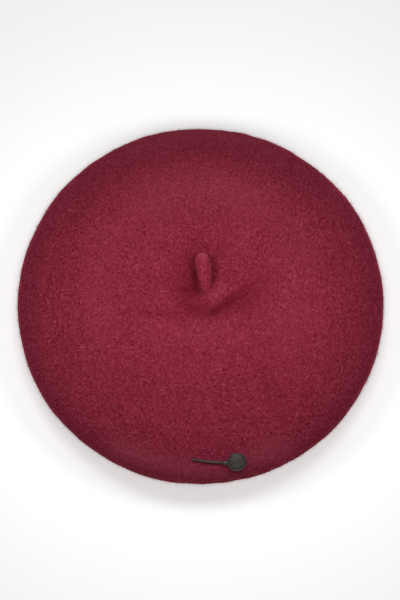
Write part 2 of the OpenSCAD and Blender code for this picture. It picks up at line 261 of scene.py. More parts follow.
MARKS = {
    "fold": Mark(
        ((-5.2, -18.4), (0.7, -16.1), (6.7, -15.0), (12, -13.1), (16.5, -9.8), (20.2, -6.5),
         (23.9, -3.8), (30.5, 0.4), (37.6, 4.2), (46, 8.6)), 3.4, 5.5, 4.6, 0.62, (0.34, 0.52)),
    "ridge": Mark(
        ((-5, -5.6), (0.3, -4.8), (6.3, -3.3), (11.5, -0.8), (14.9, 3.2), (15.3, 7.8), (15.3, 13)),
        4.0, 4.0, -2.0, -0.10, (0.3, 0.7)),
    "beyond_fold": Mark(((32.5, -9.5), (36.5, -2.5), (41.5, 5.5)), 8.8, 8.8, 0.5, 0.34),
    "left_of_stem": Mark(
        ((-1.2, 26.8), (-3.5, 20.8), (-4.2, 14.2), (-3.5, 7.5), (-2, 3.5), (0.3, -0.3)),
        3.6, 5.2, 1.0, 0.54, (0.45, 0.9)),
    "left_slope": Mark(((-9.5, 23.7), (-12.5, 13.9), (-10.2, 4.3)), 9.0, 9.0, 0.5, 0.31),
    "right_of_stem": Mark(
        ((10.1, 28.2), (10.8, 22.2), (10.1, 16.2), (9.2, 11.1), (9.2, 7.4)),
        4.6, 3.2, 1.0, 0.42, (0.4, 0.8)),
    "front_left": Mark(((-12.5, -2), (-5.7, -11.3)), 9.0, 9.0, 0.5, 0.30),
    "under_stem": Mark(((-10, -12.6), (0, -11.5), (8, -11.2)), 4.5, 4.5, dark=0.22),
    "behind_stem": Mark(((-3.5, 35.9), (13.6, 32.4)), 6.5, 6.5, dark=0.25),
    "front_lip": Mark(((-18.3, -28.3), (-0.5, -29.8), (21.9, -27.6)), 9.0, 9.0, -0.5, -0.05),
    "long_crease": Mark(
        ((-66, -12.8), (-45, -14.6), (-23, -15.9), (-9, -16.3)), 2.6, 4.0, 0.5, 0.28, (0.5, 0.7)),
    "back_fullness": Mark(((-72, 76), (-40, 97), (0, 105), (40, 97), (72, 76)), 17.0, 32.0, -3.0),
    "back_painted_light": Mark(((-40, 75), (0, 86), (40, 76)), 18.0, 20.0, dark=-0.11),
    "back_edge": Mark(((-50, 123), (0, 133), (60, 119)), 8.0, 8.0, dark=-0.11),
    "left_painted_light": Mark(((-66, 44), (-77, 6), (-73, -34)), 13.0, 13.0, dark=-0.05),
    "right_painted_light": Mark(((69, 53), (74, 17), (73, -8), (65, -42)), 13.0, 13.0, dark=-0.065),
    "front_slack": Mark(((-54, -75), (0, -90), (54, -75)), 26.0, 26.0, 2.0, 0.09),
    "front_edge": Mark(((-62, -116), (0, -133), (62, -116)), 9.0, 9.0, dark=-0.20),
    "pill": Mark(((-41.8, -94.8), (-35.7, -94.8)), 2.4, 2.4, -1.2, -0.10),
}
# How far a mark is followed, in widths, how far out marks go, and how near the stem's foot they stop
MARK_REACH, MARKED, MARK_STOP = 2.6, 132.0, (3.5, 8.0)


def marked(mark, x, y):
    """Share of a mark at points."""
    line, reach = np.array(mark.line), MARK_REACH * max(mark.left, mark.right)
    low, high = line.min(0) - reach, line.max(0) + reach
    near = (x > low[0]) & (x < high[0]) & (y > low[1]) & (y < high[1])
    off, along = beside_line(x[near], y[near], line)
    share = np.exp(-((off / np.where(off > 0, mark.left, mark.right)) ** 2))
    if mark.fade:
        share *= smooth(0, mark.fade[0], along) * (1 - smooth(mark.fade[1], 1, along))
    out = np.zeros(len(x))
    out[near] = share
    return out


class FeltForm:
    """The felt's outside as a function of the distance along its half section and the bearing."""

    def __init__(self, felt, band):
        self.rim, self.rim_height = felt.rim_radius / MM, felt.rim_height / MM
        self.rise, self.drop = felt.crown_rise / MM, felt.brim_drop / MM
        self.dish, self.dish_radius = felt.dish_depth / MM, felt.dish_radius / MM
        self.thickness = felt.thickness / MM
        self.edge = self.thickness / 2
        self.lip_in = (band.inner_radius + band.thickness) / MM + BAND_GAP
        self.lip_out = self.lip_in + self.thickness
        self.mound_top = self.crown_height(np.hypot(*STEM_FOOT)) + MOUND_RISE
        self.root_height = self.mound_top + ROOT_SIT

        r = self.rim * np.sin(QUARTER_TURN * np.linspace(0, 1, 500) ** CROWN_EASE) ** (2 / CROWN_SQUARE)
        crown = np.stack([r, self.crown_height(r)], 1)
        turn_r = self.lip_out + LIP_TURN
        slope = math.atan(self.brim_height(turn_r + 0.5) - self.brim_height(turn_r - 0.5))
        from_r = turn_r - LIP_TURN * math.sin(slope)
        turn_z = self.brim_height(from_r) - LIP_TURN * math.cos(slope)
        end = math.acos((from_r / self.rim) ** (BRIM_SQUARE / 2))
        r = self.rim * np.cos(end * np.linspace(0, 1, 240)[1:]) ** (2 / BRIM_SQUARE)
        brim = np.stack([r, self.brim_height(r)], 1)
        a = QUARTER_TURN + slope + (QUARTER_TURN - slope) * np.linspace(0, 1, 24)[1:]
        turn = np.stack([turn_r + LIP_TURN * np.cos(a), turn_z + LIP_TURN * np.sin(a)], 1)
        wall = np.stack([np.full(12, self.lip_out), np.linspace(turn_z, self.edge, 13)[1:]], 1)
        self.path = np.vstack([crown, brim, turn, wall])
        steps = np.linalg.norm(np.diff(self.path, axis=0), axis=1)
        self.s = np.concatenate([[0], np.cumsum(steps)])
        way = unit(np.gradient(self.path, self.s, axis=0))
        self.normal = np.stack([-way[:, 1], way[:, 0]], 1)
        self.crown_rows = len(crown)
        self.s_rim, self.s_end = self.s[len(crown) - 1], self.s[-1]
        self.s_turn = self.s[len(crown) + len(brim) - 1]

    def dome(self, r, square):
        return np.sqrt(np.maximum(0, 1 - (np.abs(r) / self.rim) ** square))

    def crown_height(self, r):
        dish = self.dish * np.exp(-(r / self.dish_radius) ** 2)
        return self.rim_height + self.rise * self.dome(r, CROWN_SQUARE) - dish

    def brim_height(self, r):
        return self.rim_height - self.drop * self.dome(r, BRIM_SQUARE)

    def section(self, s):
        """Radius, height and outward normal at distances along the half section."""
        return [np.interp(s, self.s, line) for line in (*self.path.T, *self.normal.T)]

    def plain(self, s, bearing):
        """Points on the undisturbed outside, and the outward normals there."""
        r, z, nr, nz = self.section(s)
        c, d = np.cos(bearing), np.sin(bearing)
        return np.stack([r * c, r * d, z], 1), np.stack([nr * c, nr * d, nz], 1)

    def relief(self, s, points):
        """How far the felt stands out of its plain form: slack, rim ripple and the marks on the crown."""
        from_rim = np.abs(s - self.s_rim)
        slack = uneven(points, SLACK) * (1 - smooth(*LIP_REACH, s - self.s_turn))
        slack *= 1 - RIM_HOLD * (1 - smooth(*RIM_REACH, from_rim))
        out = slack * (1 - DISH_HOLD * np.exp(-((s / DISH_REACH) ** 2)))
        out += uneven(points, RIM_RIPPLE) * (1 - smooth(*RIPPLE_REACH, from_rim))
        crown = s < MARKED
        x, y = points[crown, 0], points[crown, 1]
        free = smooth(*MARK_STOP, np.hypot(x - STEM_FOOT[0], y - STEM_FOOT[1]))
        for mark in MARKS.values():
            out[crown] -= mark.depth * marked(mark, x, y) * free
        return out

    def pressed(self, points):
        """Share of painted shade at points on the crown, below zero where painted light makes the felt
        paler.
        """
        out = np.zeros(len(points))
        crown = points[:, 2] > self.rim_height
        for mark in MARKS.values():
            out[crown] += mark.dark * marked(mark, points[crown, 0], points[crown, 1])
        return out

    def mound(self, points):
        """Lift of the felt under the stem and round its root."""
        off = points[:, :2] - STEM_FOOT
        far, near = np.hypot(*off.T), np.hypot(off[:, 0], off[:, 1] + COLLAR_AHEAD)
        lift = (self.mound_top - points[:, 2]) * (1 - smooth(MOUND_TOP, MOUND_FOOT, far)) ** MOUND_STEEP
        return np.maximum(lift, 0) + COLLAR_RISE * (1 - smooth(COLLAR_TOP, COLLAR_FOOT, near))

    def outside(self, s, bearing):
        """Points on the finished outside."""
        points, normals = self.plain(s, bearing)
        out = points + self.relief(s, points)[:, None] * normals
        near = s < MOUND_REACH
        out[near, 2] += self.mound(points[near])
        return out

    def inside(self, s, bearing):
        """Points on the finished inside."""
        points, normals = self.plain(s, bearing)
        return points - (self.thickness - self.relief(s, points))[:, None] * normals

    def lip_edge(self, turn, bearing):
        """Points on the lip's round edge, turned from its outside to its inside."""
        r = (self.lip_in + self.lip_out) / 2 + self.edge * np.cos(turn)
        return np.stack([r * np.cos(bearing), r * np.sin(bearing), self.edge * (1 - np.sin(turn))], 1)

    def on_crown(self, x, y):
        """The point of the finished crown over a place."""
        s = np.interp(math.hypot(x, y), self.path[:self.crown_rows, 0], self.s[:self.crown_rows])
        return self.outside(np.array([s]), np.array([math.atan2(y, x)]))[0]

    def facing(self, s, bearing):
        """Points on the finished outside and the outward normals there."""
        s = np.maximum(s, 2 * FELT_STEP)
        turn = FELT_STEP / np.maximum(self.section(s)[0], 1.0)
        return facing(self.outside, s, bearing, FELT_STEP, turn)


def felt_form(scene):
    return FeltForm(scene.beret_felt, scene.beret_band)


def mesh_piece(name, points, faces, material, uv=None, pressed=None):
    """A smooth-shaded object from points in millimetres, with its bake map and its shares of painted shade
    and light if given.
    """
    mesh = bpy.data.meshes.new(name)
    mesh.from_pydata((np.asarray(points, float) * MM).tolist(), [], faces)
    mesh.polygons.foreach_set("use_smooth", np.ones(len(mesh.polygons), bool))
    if uv is not None:
        layer = mesh.uv_layers.new(name="OFBake")
        layer.data.foreach_set("uv", np.asarray(uv, np.float32).ravel())
    if pressed is not None:
        share = mesh.attributes.new("pressed", "FLOAT", "POINT")
        share.data.foreach_set("value", pressed.astype(np.float32))
    mesh.materials.append(material)
    mesh.update()
    if mesh.validate():
        raise RuntimeError(f"the mesh of {name} had faults")
    piece = bpy.data.objects.new(name, mesh)
    bpy.context.scene.collection.objects.link(piece)
    return piece


def ring_quads(rows, columns):
    """Faces between rings of columns."""
    i, j = np.meshgrid(columns * np.arange(rows - 1), np.arange(columns), indexing="ij")
    n = (j + 1) % columns
    return np.stack([i + j, i + columns + j, i + columns + n, i + n], 2).reshape(-1, 4).tolist()


def closed_rings(rows, columns, flip=False):
    """Faces of rings with a fan at each end; the two points in the fans' middles come after the rings."""
    first, base = rows * columns, (rows - 1) * columns
    beside = [(j, (j + 1) % columns) for j in range(columns)]
    faces = [[first, j, n] for j, n in beside] + ring_quads(rows, columns)
    faces += [[base + j, first + 1, base + n] for j, n in beside]
    return [face[::-1] for face in faces] if flip else faces


def capped_rings(rows, columns):
    """Faces of rings with a flat face at each end."""
    end = list(range(columns))
    faces = [face[::-1] for face in ring_quads(rows, columns)]
    return faces + [end[::-1], [(rows - 1) * columns + k for k in end]]


def tube(path, radius, sides):
    """Points and faces of a round tube along a path; radius is a number or one for each point."""
    path = np.asarray(path, float)
    way = unit(np.gradient(path, axis=0))
    across = np.cross(way[0], [0.3, 0.5, 0.81])
    side = []
    for w in way:
        across = unit(across - (across @ w) * w)
        side.append(across)
    side = np.array(side)
    ring = turned(round_to(sides), side[:, None], np.cross(way, side)[:, None])
    points = path[:, None] + np.broadcast_to(radius, len(path))[:, None, None] * ring
    return points.reshape(-1, 3), capped_rings(len(path), sides)


def joined(parts):
    """Several (points, faces) as one."""
    points, faces, base = [], [], 0
    for p, f in parts:
        points.append(p)
        faces += [[v + base for v in face] for face in f]
        base += len(p)
    return np.vstack(points), faces


# Radius of a ply and of the circle that it winds on, as shares of the thread's radius
PLY_RADIUS, PLY_WIND = 0.6, 0.48


def plied(path, radius, turns, sides, phase=0.0):
    """Two plies twisted round a path."""
    path = np.asarray(path, float)
    way = unit(np.gradient(path, axis=0))
    side = unit(np.cross(way, [0.31, 0.22, 0.92]))
    other = np.cross(way, side)
    parts = []
    for start in (phase, phase + math.pi):
        wind = turned(start + np.linspace(0, FULL_TURN * turns, len(path)), side, other)
        parts.append(tube(path + PLY_WIND * radius * wind, PLY_RADIUS * radius, sides))
    return joined(parts)


BAKE_COLUMNS, FIBRE_TAPER = 64, 0.6


def fibre_piece(name, finish, fibres, pieces, seed):
    """An object of tapered three-sided fibres, with a bake map that has a column for each tone."""
    roots, ways, bends, lengths, radii = fibres
    draw = np.random.default_rng(seed)
    count = len(roots)
    side = unit(np.cross(ways, draw.normal(size=(count, 3))))
    ring = turned(round_to(3), side[:, None], unit(np.cross(ways, side))[:, None])
    levels = []
    for t in np.arange(pieces) / pieces:
        middle = roots + lengths[:, None] * (t * ways + t * t * bends)
        levels.append(middle[:, None] + (radii * (1 - t) ** FIBRE_TAPER)[:, None, None] * ring)
    tip = roots + lengths[:, None] * (ways + bends)
    points = np.concatenate([*levels, tip[:, None]], 1)

    # One fibre's corners count up it in threes, and the tip is the last
    tip_at = 3 * pieces
    beside = [(k, 3 * (k // 3) + (k + 1) % 3) for k in range(tip_at)]
    faces = [[2, 1, 0]]
    faces += [[k, n, n + 3, k + 3] for k, n in beside[:-3]]
    faces += [[k, n, tip_at] for k, n in beside[-3:]]
    all_faces = [[v + (tip_at + 1) * i for v in face] for i in range(count) for face in faces]
    height, odd = np.array([(v // 3, k % 2) for face in faces for k, v in enumerate(face)]).T
    u = (draw.integers(0, BAKE_COLUMNS, count)[:, None] + 0.325 + 0.35 * odd) / BAKE_COLUMNS
    v = np.broadcast_to(0.02 + 0.96 * height / pieces, u.shape)
    return mesh_piece(name, points.reshape(-1, 3), all_faces, finish, np.stack([u, v], 2))


# Materials

class Nodes:
    """Short calls that add nodes to the tree of a material or a world."""

    def __init__(self, owner):
        owner.use_nodes = True
        self.nodes, self.links = owner.node_tree.nodes, owner.node_tree.links
        self.nodes.clear()

    def add(self, kind, inputs=None, **settings):
        """A node with its settings, and its inputs by name or number."""
        node = self.nodes.new(kind)
        for key, value in settings.items():
            setattr(node, key, value)
        for key, value in (inputs or {}).items():
            self.feed(node.inputs[key], value)
        return node

    def feed(self, socket, value):
        if isinstance(value, NodeSocket):
            self.links.new(value, socket)
        else:
            socket.default_value = value

    def spread(self, value, low, high, to_low=0.0, to_high=1.0):
        inputs = {"Value": value, "From Min": low, "From Max": high, "To Min": to_low, "To Max": to_high}
        return self.add("ShaderNodeMapRange", inputs, clamp=True).outputs["Result"]

    def math(self, kind, a, b):
        return self.add("ShaderNodeMath", {0: a, 1: b}, operation=kind).outputs[0]


class Recipe(Nodes):
    """A material with one principled shader."""

    def __init__(self, name):
        self.material = bpy.data.materials.new(name)
        super().__init__(self.material)
        self.shader = self.add("ShaderNodeBsdfPrincipled")
        self.output = self.add("ShaderNodeOutputMaterial", {"Surface": self.shader.outputs["BSDF"]})
        self.place = self.add("ShaderNodeTexCoord").outputs["Object"]

    def set(self, **values):
        for key, value in values.items():
            self.feed(self.shader.inputs[key.replace("_", " ")], value)

    def stretched(self, scale, turn=0.0, source=None):
        """Texture places at a scale for each axis, where nought flattens the axis."""
        sizes = [1 / s if s else 1e6 for s in scale]
        inputs = {"Vector": source or self.place, "Rotation": (0, 0, turn), "Scale": sizes}
        return self.add("ShaderNodeMapping", inputs, vector_type="TEXTURE").outputs["Vector"]

    def noise(self, scale, detail, rough, source=None, twist=0.0):
        inputs = {"Vector": source or self.place, "Scale": scale, "Detail": detail}
        inputs |= {"Roughness": rough, "Distortion": twist}
        return self.add("ShaderNodeTexNoise", inputs).outputs["Fac"]

    def mix(self, share, a, b):
        a, b = (tone if isinstance(tone, NodeSocket) else (*tone, 1.0) for tone in (a, b))
        return self.add("ShaderNodeMix", {0: share, 6: a, 7: b}, data_type="RGBA").outputs[2]

    def bump(self, height, distance, strength, under=None):
        inputs = {"Height": height, "Distance": distance, "Strength": strength}
        if under is not None:
            inputs["Normal"] = under
        return self.add("ShaderNodeBump", inputs).outputs["Normal"]


def shade(tone, share):
    """A colour made darker or paler."""
    return tuple(min(1.0, share * c) for c in tone)


def felt_finish(felt, name="felt", lift=1.0):
    """Fulled wool: tangled fibres with dark gaps between them, in patches of slightly different tone."""
    m = Recipe(name)
    dark, main, pale = (shade(c, lift) for c in (felt.dark_colour, felt.colour, felt.pale_colour))
    a, b, c = (
        m.noise(1250, 1.0, 0.5, m.stretched((1.0, 0.34, 0.6), turn), 0.6) for turn in (0.3, 1.4, 2.5)
    )
    fibres = m.math("MAXIMUM", m.math("MAXIMUM", a, b), c)
    gaps = m.math("MINIMUM", m.math("MINIMUM", a, b), c)
    lumps, patches = m.noise(260, 2, 0.6), m.noise(62, 2, 0.55)
    tone = m.mix(m.spread(gaps, 0.43, 0.25, 0.0, 0.93), main, dark)
    tone = m.mix(m.spread(fibres, 0.60, 0.79, 0.0, 0.74), tone, pale)
    tone = m.mix(m.spread(lumps, 0.38, 0.62, 0.16, 0.0), tone, dark)
    tone = m.mix(m.spread(patches, 0.36, 0.64, 0.12, 0.0), tone, dark)
    # Painted shade darkens the felt and painted light makes it paler, by a share given at each point
    pressed = m.add("ShaderNodeAttribute", attribute_name="pressed").outputs["Fac"]
    tone = m.mix(m.spread(pressed, 0.0, 1.0), tone, dark)
    tone = m.mix(m.spread(pressed, 0.0, -1.0), tone, pale)
    m.set(Base_Color=tone, Roughness=m.spread(fibres, 0.4, 1.0, 0.98, 0.88), Specular_IOR_Level=0.0)
    m.set(Sheen_Weight=1.0, Sheen_Roughness=0.32, Sheen_Tint=(1.0, 0.14, 0.24, 1.0))
    under = m.bump(fibres, 0.0007, 0.8, m.bump(lumps, 0.0015, 0.6))
    m.set(Normal=m.bump(gaps, 0.0006, 0.8, under))
    return m.material


def nap_finish(name, low, high):
    """Single wool fibres, each of its own tone."""
    m = Recipe(name)
    columns = m.add("ShaderNodeUVMap", uv_map="OFBake").outputs["UV"]
    tones = m.noise(1.0, 0, 0.5, m.stretched((37.0, 0.0, 0.0), source=columns))
    m.set(Base_Color=m.mix(m.spread(tones, 0.3, 0.7), low, high), Specular_IOR_Level=0.0)
    m.set(Roughness=m.spread(tones, 0.3, 0.7, 0.95, 0.8))
    m.set(Normal=m.bump(m.noise(9000, 1, 0.5), 0.00002, 0.4))
    return m.material


def leather_finish(band):
    """Soft grained leather, rubbed pale along its top edge."""
    m = Recipe("leather")
    cells = m.add("ShaderNodeTexVoronoi", {"Vector": m.place, "Scale": 950}, feature="DISTANCE_TO_EDGE")
    grain = cells.outputs["Distance"]
    folds = m.noise(140, 4, 0.6, m.stretched((1.0, 1.0, 2.2)))
    stain = m.spread(m.noise(34, 3, 0.6), 0.3, 0.75, 0.0, 0.55)
    height = m.add("ShaderNodeSeparateXYZ", {0: m.place}).outputs["Z"]
    worn = m.math("MULTIPLY", m.spread(height, 0.0262, 0.0279), m.spread(folds, 0.35, 0.6))
    tone = m.mix(stain, band.colour, shade(band.colour, 0.55))
    tone = m.mix(m.spread(grain, 0.0, 0.14, 0.6, 0.0), tone, shade(band.colour, 0.35))
    tone = m.mix(m.math("MULTIPLY", worn, 0.75), tone, band.worn_colour)
    m.set(Base_Color=tone, Roughness=m.spread(folds, 0.3, 0.7, 0.42, 0.62), Specular_IOR_Level=0.4)
    under = m.bump(folds, 0.0009, 0.4, m.bump(m.spread(grain, 0.0, 0.2), 0.00022, 0.7))
    m.set(Normal=m.bump(m.noise(2300, 2, 0.5), 0.0001, 0.4, under))
    return m.material


@cache
def thread_finish():
    """Matte spun thread with fine fibres along it, one material for all the stitching."""
    thread = bpy.context.scene.beret_thread
    m = Recipe("thread")
    spun = m.noise(3200, 3, 0.6, twist=1.0)
    worn = m.spread(m.noise(120, 2, 0.5), 0.4, 0.7, 0.0, 0.4)
    tone = m.mix(m.spread(spun, 0.4, 0.7), thread.colour, thread.pale_colour)
    tone = m.mix(worn, tone, shade(thread.colour, 0.6))
    m.set(Base_Color=tone, Roughness=m.spread(spun, 0.3, 0.7, 0.85, 0.65), Specular_IOR_Level=0.1)
    m.set(Sheen_Weight=0.05, Sheen_Roughness=0.5, Sheen_Tint=(1.0, 0.4, 0.45, 1.0))
    m.set(Normal=m.bump(spun, 0.00012, 0.8))
    return m.material


def plated_finish(pin):
    """Dark plated metal with fine scratches, rubbed through in places."""
    m = Recipe("dark_metal")
    scratches = m.noise(900, 4, 0.7, m.stretched((0.25, 3.0, 1.6)))
    cloud = m.noise(420, 3, 0.6)
    rub = m.spread(m.noise(1500, 4, 0.7, twist=0.8), 0.6, 0.8, 0.0, 0.7)
    tone = m.mix(m.spread(cloud, 0.3, 0.7, 0.0, 0.5), pin.colour, shade(pin.colour, 0.6))
    m.set(Base_Color=m.mix(rub, tone, pin.worn_colour), Metallic=1.0)
    m.set(Roughness=m.spread(scratches, 0.3, 0.7, 0.32, 0.55))
    m.set(Normal=m.bump(scratches, 0.00006, 0.5, m.bump(cloud, 0.0002, 0.35)))
    return m.material


def plain_metal_finish(name, tone, dull, scale):
    """Bare or plated metal with drawn lines and a tarnish."""
    m = Recipe(name)
    lines = m.noise(scale, 4, 0.6, m.stretched((1.0, 1.0, 4.0)))
    tarnish = m.spread(m.noise(scale / 4, 3, 0.6), 0.35, 0.7, 0.0, 0.7)
    m.set(Base_Color=m.mix(tarnish, tone, shade(tone, 0.45)), Metallic=1.0)
    m.set(Roughness=m.spread(lines, 0.3, 0.7, dull - 0.1, dull + 0.12))
    m.set(Normal=m.bump(lines, 0.00004, 0.5))
    return m.material


def rubber_finish():
    """Matte black rubber."""
    m = Recipe("grip_rubber")
    bloom = m.noise(900, 3, 0.6)
    tone = m.mix(m.spread(bloom, 0.35, 0.7), (0.018, 0.018, 0.019), (0.045, 0.045, 0.047))
    m.set(Base_Color=tone, Roughness=m.spread(bloom, 0.3, 0.7, 0.7, 0.9), Specular_IOR_Level=0.35)
    m.set(Normal=m.bump(m.noise(2600, 2, 0.5), 0.00005, 0.5))
    return m.material


def floor_finish(stage):
    """Pale matte floor that looks white to the camera but keeps the shadow."""
    m = Recipe("floor")
    grain = m.spread(m.noise(60, 3, 0.5), 0.3, 0.7, 0.0, 0.15)
    path = m.add("ShaderNodeLightPath").outputs
    seen = m.math("MAXIMUM", path["Is Camera Ray"], path["Is Glossy Ray"])
    m.set(Base_Color=m.mix(grain, stage.floor_colour, (0.8, 0.8, 0.8)))
    m.set(Roughness=0.8, Specular_IOR_Level=0.1)
    m.set(Emission_Color=(1, 1, 1, 1), Emission_Strength=m.math("MULTIPLY", seen, 0.55))
    # Clear from below, and to light from below, so that the inside can be looked at
    below = m.add("ShaderNodeNewGeometry").outputs["Backfacing"]
    clear = m.add("ShaderNodeMixShader", {
        0: m.math("MAXIMUM", below, path["Is Shadow Ray"]),
        1: m.shader.outputs["BSDF"],
        2: m.add("ShaderNodeBsdfTransparent").outputs["BSDF"],
    })
    m.feed(m.output.inputs["Surface"], clear.outputs["Shader"])
    return m.material


# Pieces

def stepped(start, stops):
    """Distances from start through stops of (end, step), each end included."""
    out = [start]
    for end, step in stops:
        count = max(1, round((end - out[-1]) / step))
        out += list(np.linspace(out[-1], end, count + 1)[1:])
    return np.array(out)


FELT_COLUMNS, EDGE_ROWS = 360, 8
# Distances from the crown's middle, and to each side of the rim, over which the felt's rows lie closer
DISH_ROWS, RIM_ROWS = 46, 14
CHART_RADIUS, CHART_LOW, CHART_HIGH = 0.242, 0.25, 0.75


def felt_bake_map(form, s, outer_rows):
    """Round charts for the crown and the under-brim, those of the outside above those of the inside."""
    def chart(at, steps, outer):
        """Corners of a ring of faces, from their distances and their steps round the ring."""
        at, crown = np.array(at), np.mean(at) < form.s_rim
        radius = CHART_RADIUS / form.s_rim * (at if crown else 2 * form.s_rim - at)
        bearing = FULL_TURN * (np.arange(FELT_COLUMNS)[:, None] + steps) / FELT_COLUMNS
        middle = np.array([CHART_LOW if crown else CHART_HIGH, CHART_HIGH if outer else CHART_LOW])
        return middle + (radius[:, None] * np.stack([np.cos(bearing), np.sin(bearing)], 2)).reshape(-1, 2)

    charts = [chart((0, s[0], s[0]), (0, 0, 1), True)]
    for i, (a, b) in enumerate(zip(s, s[1:])):
        charts.append(chart((a, b, b, a), (0, 0, 1, 1), i < outer_rows - 1))
    charts.append(chart((s[-1], 0, s[-1]), (0, 0, 1), False))
    return np.vstack(charts)


class BERET_OT_felt_shell(Operator):
    """Build the seamless felt body: crown, rolled rim, under-brim and lip"""

    bl_idname = "beret.felt_shell"
    bl_label = "Felt body"

    def execute(self, context):
        form = felt_form(context.scene)
        rim_from, rim_to = form.s_rim - RIM_ROWS, form.s_rim + RIM_ROWS
        out_s = stepped(0.8, [(DISH_ROWS, 0.8), (rim_from, 1.75), (form.s_rim, 1.25), (rim_to, 1.25),
                              (form.s_turn - 2, 1.75), (form.s_end, 0.8)])
        in_s = stepped(3.0, [(rim_from, 3.6), (rim_to, 2.0), (form.s_end, 2.4)])[::-1]
        turns = math.pi * np.arange(1, EDGE_ROWS) / EDGE_ROWS
        rings = [rings_of(surface, s, FELT_COLUMNS) for surface, s in (
            (form.outside, out_s), (form.lip_edge, turns), (form.inside, in_s))]
        middles = [surface(np.array([0.01]), np.zeros(1)) for surface in (form.outside, form.inside)]
        points = np.vstack([*rings, *middles])
        s = np.concatenate([out_s, form.s_end + form.edge * turns, in_s])
        uv = felt_bake_map(form, s, len(out_s) + len(turns))
        piece = mesh_piece("felt_body", points, closed_rings(len(s), FELT_COLUMNS),
                           felt_finish(context.scene.beret_felt), uv, form.pressed(points))
        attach(piece, BODY)
        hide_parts("felt_shell")
        return {"FINISHED"}


class Nap(NamedTuple):
    """How short fibres grow: their rise out of the surface, scatter of length and depth of root."""

    rise: tuple
    scatter: float
    sink: float


FELT_NAP, STEM_NAP = Nap((0.25, 0.85), 0.42, 0.15), Nap((0.2, 0.75), 0.4, 0.12)
NAP_LONGEST, NAP_RADIUS = 4.5, 0.045
STEM_NAP_LENGTH, STEM_NAP_LONGEST, STEM_NAP_RADIUS = 1.3, 3.0, 0.04


def grown(draw, roots, normals, nap, usual, longest, radius):
    """Roots, ways, bends, lengths and radii of short fibres on a surface."""
    count = len(roots)

    def lying():
        return unit(np.cross(normals, draw.normal(size=(count, 3))))

    rise = draw.uniform(*nap.rise, count)[:, None]
    ways = unit(rise * normals + (1 - rise) * lying())
    bends = 0.5 * draw.uniform(0, 1, count)[:, None] * lying()
    lengths = np.minimum(usual * draw.lognormal(0, nap.scatter, count), longest)
    return roots - nap.sink * normals, ways, bends, lengths, radius * draw.uniform(0.7, 1.3, count)


def felt_fibres(form, count, reach, seed, usual=1.0, longest=1.0, radius=1.0):
    """Fibres strewn evenly over a stretch of the felt."""
    draw = np.random.default_rng(seed)
    s = np.linspace(*reach, 2000)
    weight = np.cumsum(form.section(s)[0])
    at = np.interp(draw.uniform(0, weight[-1], count), weight, s)
    roots, normals = form.facing(at, draw.uniform(0, FULL_TURN, count))
    return grown(draw, roots, normals, FELT_NAP, usual, longest, radius)


# How much paler the fibres are that stand out round the rim or lie loose, where light comes through them
FRINGE_LIFT, STRAY_LIFT = 1.7, 1.9
# How far to each side of the rim the fringe grows, and how much longer it is
FRINGE_REACH, FRINGE_LONGER = 7, 1.2
STRAY_LENGTH, STRAY_SCATTER, STRAY_LONGEST, STRAY_RADIUS = 4.5, 0.4, 12.0, 0.04
# Loose fibres that show singly: where each starts and ends on the crown, and how far it arches to its left
LOOSE = (
    ((-36.9, 78.4), (-34.1, 85.9), -0.9), ((-114.7, -36.6), (-108.1, -37.1), 2.4),
    ((-91.1, -41.6), (-87.3, -41.6), 0.2), ((-92.4, -43.7), (-89.2, -43.6), 0.2),
    ((-30.2, 0.7), (-23.4, 0.8), 0.1),
)
LOOSE_RADIUS, LOOSE_LIFT = 0.16, 0.4


def loose_fibres(form):
    """Roots, ways, bends, lengths and radii of the loose fibres that show singly."""
    roots, ways, bends = [], [], []
    for start, end, arch in LOOSE:
        root = form.on_crown(*start)
        chord = form.on_crown(*end) - root
        bow = 4 * arch * np.array([-chord[1], chord[0], 0.0]) / math.hypot(chord[0], chord[1])
        roots.append(root + [0, 0, LOOSE_LIFT])
        ways.append(chord + bow)
        bends.append(-bow)
    return roots, ways, bends, np.ones(len(LOOSE)), np.full(len(LOOSE), LOOSE_RADIUS)


class BERET_OT_felt_nap(Operator):
    """Raise the felt's nap: short fibres all over and a few long loose ones"""

    bl_idname = "beret.felt_nap"
    bl_label = "Felt nap"

    def execute(self, context):
        felt, form = context.scene.beret_felt, felt_form(context.scene)
        usual = felt.nap_length / MM
        rim_from, rim_to = form.s_rim - FRINGE_REACH, form.s_rim + FRINGE_REACH
        nap = nap_finish("nap", shade(felt.colour, 0.85), shade(felt.pale_colour, 0.88))
        fringe = nap_finish("fringe", felt.pale_colour, shade(felt.pale_colour, FRINGE_LIFT))
        for name, finish, count, reach, longer, seed in (
            ("felt_nap_crown", nap, felt.nap_count, (14.0, rim_from), 1.0, 31),
            ("felt_nap_rim", fringe, felt.fringe_count, (rim_from, rim_to), FRINGE_LONGER, 36),
            ("felt_nap_under", nap, felt.under_count, (rim_to, form.s_end - 2), 1.0, 32),
        ):
            fibres = felt_fibres(form, count, reach, seed, longer * usual, NAP_LONGEST, NAP_RADIUS)
            piece = fibre_piece(name, finish, fibres, pieces=2, seed=seed + 100)
            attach(piece, BODY)

        count = felt.stray_count
        roots, ways, bends, _, _ = felt_fibres(form, count, (16.0, form.s_rim + 12), seed=34)
        draw = np.random.default_rng(33)
        lengths = np.minimum(draw.lognormal(math.log(STRAY_LENGTH), STRAY_SCATTER, count), STRAY_LONGEST)
        stray = roots, unit(ways + 0.2 * bends), 1.2 * bends, lengths, np.full(count, STRAY_RADIUS)
        fibres = [np.concatenate(pair) for pair in zip(stray, loose_fibres(form))]
        pale = nap_finish("stray_fibres", felt.pale_colour, shade(felt.pale_colour, STRAY_LIFT))
        piece = fibre_piece("felt_stray_fibres", pale, fibres, pieces=6, seed=35)
        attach(piece, BODY)
        return {"FINISHED"}


STEM_COLUMNS, STEM_STEP, STEM_TURN, LINE_STEP = 48, 0.15, 0.05, 0.3
STEM_SWELL, TIP_SQUARE = 0.8, 2.3
